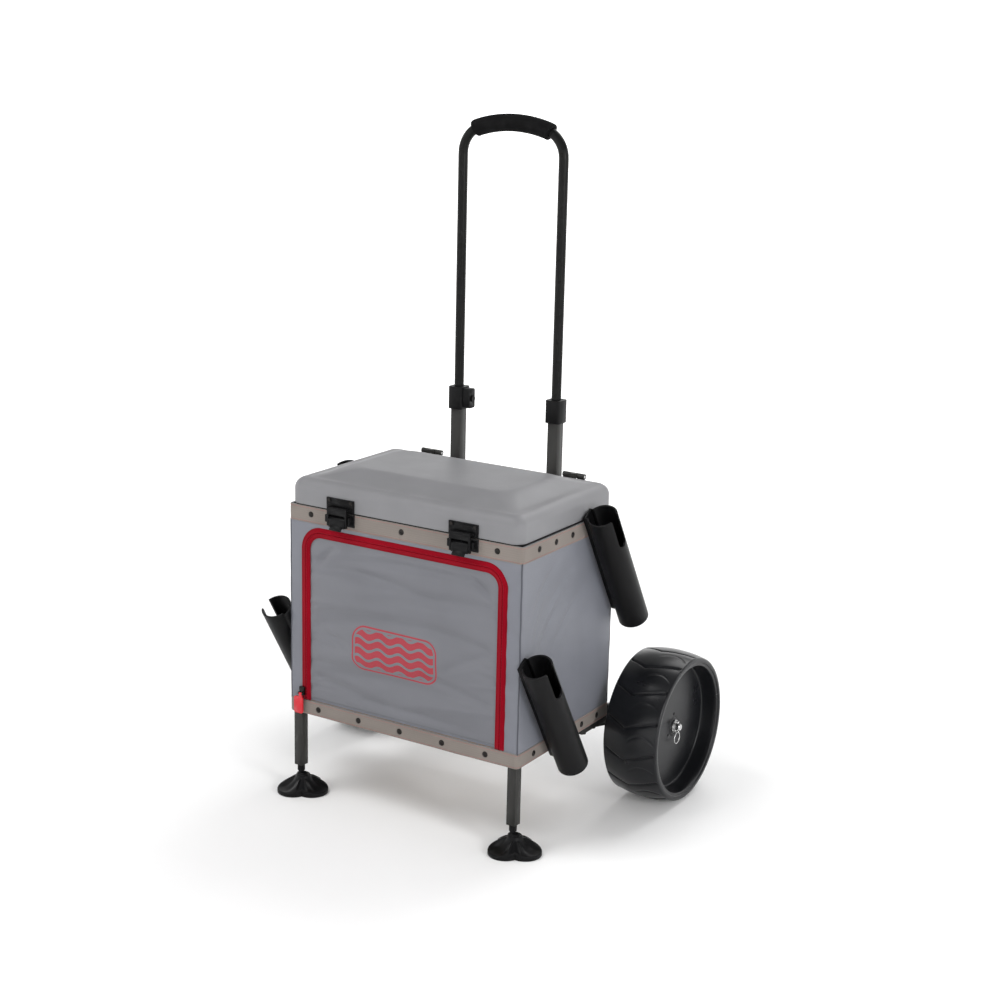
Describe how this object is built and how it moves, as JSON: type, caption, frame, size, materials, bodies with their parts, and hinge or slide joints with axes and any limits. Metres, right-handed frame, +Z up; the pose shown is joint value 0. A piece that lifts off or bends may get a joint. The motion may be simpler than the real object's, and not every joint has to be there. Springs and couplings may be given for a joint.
{
  "type": "fishing seat box cart",
  "caption": "Soft-sided seat box on two wide wheels and levelling legs, with a hinged lid, zipped front door, rod holders and a telescoping pull handle.",
  "frame": {"origin": "on the ground under the centre of the whole cart", "axes": "+Z up, the door faces -Y, +X along the axle"},
  "size_m": [0.687, 0.5006, 1.1112],
  "materials": {
    "frame_steel": "satin dark grey paint",
    "board": "plain",
    "grey_fabric": "coated woven polyester",
    "webbing": "woven tape",
    "red_tape": "zip tape",
    "lid_plastic": "satin, fine grain",
    "black_plastic": "satin moulded",
    "wheel_plastic": "satin moulded",
    "gloss_black": "gloss black paint",
    "foam": "closed-cell foam",
    "rubber": "matt",
    "dark_metal": "antique studs",
    "zinc": "zinc plated",
    "red_plastic": "gloss"
  },
  "bodies": {
    "chassis": {"front_posts": "frame_steel", "rear_posts": "frame_steel", "top_side_rails": "frame_steel", "top_cross_rails": "frame_steel", "bottom_side_rails": "frame_steel", "bottom_cross_rails": "frame_steel", "handle_sleeve_right": "frame_steel", "handle_sleeve_left": "frame_steel", "handle_saddles": "frame_steel", "axle_brackets": "frame_steel", "hinge_brackets": "frame_steel", "base_board": "board", "box_front": "grey_fabric", "box_left": "grey_fabric", "box_right": "grey_fabric", "box_rear": "grey_fabric", "webbing_bands": "webbing", "zip_tape_box": "red_tape", "latch_bases": "black_plastic", "collar_right": "black_plastic", "collar_left": "black_plastic", "rod_holder_front_right": "black_plastic", "rod_holder_front_left": "black_plastic", "rod_holder_rear_right": "black_plastic", "rod_holder_rear_left": "black_plastic", "press_studs": "dark_metal", "frame_bolts": "dark_metal", "axle": "zinc", "axle_spacers": "zinc", "axle_washers": "zinc", "cotter_pins": "zinc", "hinge_pins": "zinc"},
    "lid": {"lid_shell": "lid_plastic", "lid_liner": "lid_plastic", "lid_gasket": "rubber", "hinge_leaves": "frame_steel", "latch_strikes": "black_plastic", "latch_screws": "dark_metal"},
    "door": {"door_panel": "grey_fabric", "zip_tape_door": "red_tape"},
    "zip_slider": {"zip_slider": "dark_metal"},
    "zip_pull": {"zip_pull": "red_plastic"},
    "handle": {"handle_tube": "gloss_black", "handle_grip": "foam"},
    "lock_button": {"lock_button": "black_plastic"},
    "latch_lever_right": {"latch_lever_right": "black_plastic"},
    "latch_bail_right": {"latch_bail_right": "black_plastic"},
    "wheel_right": {"wheel_right": "wheel_plastic"},
    "pull_ring_right": {"pull_ring_right": "zinc"},
    "leg_right": {"leg_right": "frame_steel", "leg_stem_right": "black_plastic"},
    "foot_right": {"foot_right": "black_plastic"},
    "latch_lever_left": {"latch_lever_left": "black_plastic"},
    "latch_bail_left": {"latch_bail_left": "black_plastic"},
    "wheel_left": {"wheel_left": "wheel_plastic"},
    "pull_ring_left": {"pull_ring_left": "zinc"},
    "leg_left": {"leg_left": "frame_steel", "leg_stem_left": "black_plastic"},
    "foot_left": {"foot_left": "black_plastic"}
  },
  "joints": [
    {"name": "lid_hinge", "type": "hinge", "parent": "chassis", "child": "lid", "pos_m": [0, 0.06875, 0.54], "axis": [-1, 0, 0], "range_deg": [0, 70]},
    {"name": "door_fold", "type": "hinge", "parent": "chassis", "child": "door", "pos_m": [0, -0.22145, 0.168], "axis": [1, 0, 0], "range_deg": [0, 120]},
    {"name": "zip_run", "type": "slide", "parent": "chassis", "child": "zip_slider", "axis": [0, 0, 1], "range_m": [0, 0.23]},
    {"name": "zip_pull_swing", "type": "hinge", "parent": "zip_slider", "child": "zip_pull", "pos_m": [-0.193, -0.22805, 0.179], "axis": [-1, 0, 0], "range_deg": [0, 160]},
    {"name": "handle_telescope", "type": "slide", "parent": "chassis", "child": "handle", "axis": [0, 0, 1], "range_m": [-0.36, 0]},
    {"name": "lock_button_push", "type": "slide", "parent": "chassis", "child": "lock_button", "axis": [-1, 0, 0], "range_m": [0, 0.0025], "stiffness_N_per_m": 800, "springref_m": -0.002},
    {"name": "latch_lever_swing_right", "type": "hinge", "parent": "chassis", "child": "latch_lever_right", "pos_m": [0.116, -0.22725, 0.487], "axis": [-1, 0, 0], "range_deg": [0, 100]},
    {"name": "latch_bail_swing_right", "type": "hinge", "parent": "latch_lever_right", "child": "latch_bail_right", "pos_m": [0.116, -0.23135, 0.479], "axis": [-1, 0, 0], "range_deg": [-100, 0]},
    {"name": "wheel_spin_right", "type": "hinge", "parent": "chassis", "child": "wheel_right", "pos_m": [0.295, 0.12435, 0.126], "axis": [1, 0, 0], "continuous": true},
    {"name": "ring_swing_right", "type": "hinge", "parent": "chassis", "child": "pull_ring_right", "pos_m": [0.3216, 0.12435, 0.11585], "axis": [0, -1, 0], "range_deg": [-10, 85]},
    {"name": "leg_slide_right", "type": "slide", "parent": "chassis", "child": "leg_right", "axis": [0, 0, 1], "range_m": [-0.02, 0.09]},
    {"name": "foot_tilt_right", "type": "hinge", "parent": "leg_right", "child": "foot_right", "pos_m": [0.2082, -0.20745, 0.024], "axis": [1, 0, 0], "range_deg": [-12, 12]},
    {"name": "latch_lever_swing_left", "type": "hinge", "parent": "chassis", "child": "latch_lever_left", "pos_m": [-0.116, -0.22725, 0.487], "axis": [-1, 0, 0], "range_deg": [0, 100]},
    {"name": "latch_bail_swing_left", "type": "hinge", "parent": "latch_lever_left", "child": "latch_bail_left", "pos_m": [-0.116, -0.23135, 0.479], "axis": [-1, 0, 0], "range_deg": [-100, 0]},
    {"name": "wheel_spin_left", "type": "hinge", "parent": "chassis", "child": "wheel_left", "pos_m": [-0.295, 0.12435, 0.126], "axis": [1, 0, 0], "continuous": true},
    {"name": "ring_swing_left", "type": "hinge", "parent": "chassis", "child": "pull_ring_left", "pos_m": [-0.3216, 0.12435, 0.11585], "axis": [0, 1, 0], "range_deg": [-10, 85]},
    {"name": "leg_slide_left", "type": "slide", "parent": "chassis", "child": "leg_left", "axis": [0, 0, 1], "range_m": [-0.02, 0.09]},
    {"name": "foot_tilt_left", "type": "hinge", "parent": "leg_left", "child": "foot_left", "pos_m": [-0.2082, -0.20745, 0.024], "axis": [1, 0, 0], "range_deg": [-12, 12]}
  ],
  "couplings": [
    {"joint": "latch_bail_swing_right", "follows": "latch_lever_swing_right", "ratio": -1},
    {"joint": "latch_bail_swing_left", "follows": "latch_lever_swing_left", "ratio": -1}
  ]
}
